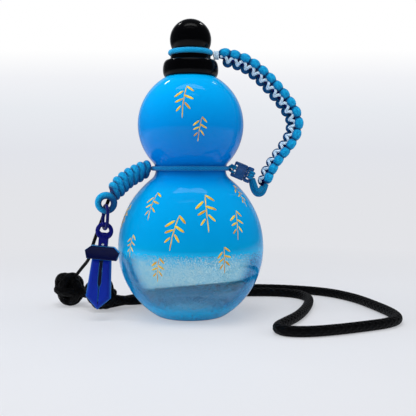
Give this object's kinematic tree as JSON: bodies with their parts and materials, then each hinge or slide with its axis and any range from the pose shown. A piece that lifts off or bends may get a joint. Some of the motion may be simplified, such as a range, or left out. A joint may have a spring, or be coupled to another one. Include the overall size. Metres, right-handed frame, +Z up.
{
  "type": "gourd water bottle",
  "caption": "Double-bulb gourd water bottle with a screw cap and ball knob, a woven cap tether, a knotted tassel with a sword charm and a shoulder rope.",
  "frame": {"origin": "centre of the bottle's foot, on the plane that it stands on", "axes": "+Z up along the bottle's axis; the front faces -Y; the tether and buckle are at +X and the tassel at -X"},
  "size_m": [0.2464, 0.1582, 0.2055],
  "materials": {
    "bottle_glass": "gloss",
    "cap_plastic": "gloss",
    "insert_plastic": "satin",
    "seal_rubber": "matt",
    "blue_cord": "woven",
    "white_cord": "woven",
    "navy_cord": "woven",
    "black_cord": "woven",
    "black_rope": "woven",
    "buckle_plastic": "satin",
    "charm_enamel": "gloss",
    "pin_steel": "brushed"
  },
  "bodies": {
    "bottle": {"vessel_foot": "bottle_glass", "vessel_lower_belly": "bottle_glass", "vessel_lower_shoulder": "bottle_glass", "vessel_upper_belly": "bottle_glass", "vessel_upper_shoulder": "bottle_glass", "vessel_neck": "bottle_glass", "waist_cord": "blue_cord", "waist_tie": "blue_cord", "buckle_socket": "buckle_plastic", "strap_core": "blue_cord", "strap_blue_weave": "blue_cord", "strap_white_weave": "white_cord", "tassel_core": "blue_cord", "tassel_knots": "blue_cord", "tassel_eye": "blue_cord", "lanyard_cord": "black_cord", "rope_knot_inner": "black_rope", "rope_knot_outer": "black_rope", "knot_link": "black_rope", "shoulder_rope": "black_rope"},
    "tether_top": {"tether_ring": "blue_cord", "tether_ferrule": "white_cord"},
    "cap": {"cap_shell": "cap_plastic", "thread_insert": "insert_plastic", "cap_seal": "seal_rubber", "ball_knob": "cap_plastic"},
    "buckle_plug": {"buckle_tongue": "buckle_plastic", "strap_end_loop": "blue_cord"},
    "link": {"charm_link": "navy_cord"},
    "sword": {"sword_hilt": "charm_enamel", "sword_blade": "charm_enamel", "grip_pin": "pin_steel"}
  },
  "joints": [
    {"name": "cap_lift", "type": "slide", "parent": "bottle", "child": "tether_top", "axis": [0, 0, 1], "range_m": [0, 0.012], "deforming": ["strap_core", "strap_blue_weave", "strap_white_weave"]},
    {"name": "cap_turn", "type": "hinge", "parent": "tether_top", "child": "cap", "pos_m": [0, 0, 0.18], "axis": [0, 0, 1], "range_deg": [0, 720]},
    {"name": "buckle_release", "type": "slide", "parent": "bottle", "child": "buckle_plug", "axis": [0.9205, 0, -0.3907], "range_m": [0, 0.007]},
    {"name": "link_swing", "type": "hinge", "parent": "bottle", "child": "link", "pos_m": [-0.0558, -0.024, 0.0797], "axis": [0, 1, 0], "range_deg": [0, 60]},
    {"name": "sword_sway", "type": "hinge", "parent": "link", "child": "sword", "pos_m": [-0.05664, -0.024, 0.06548], "axis": [-1, 0, 0], "range_deg": [0, 45]}
  ],
  "couplings": [
    {"joint": "cap_turn", "follows": "cap_lift", "rad_per_m": 1047.2}
  ]
}
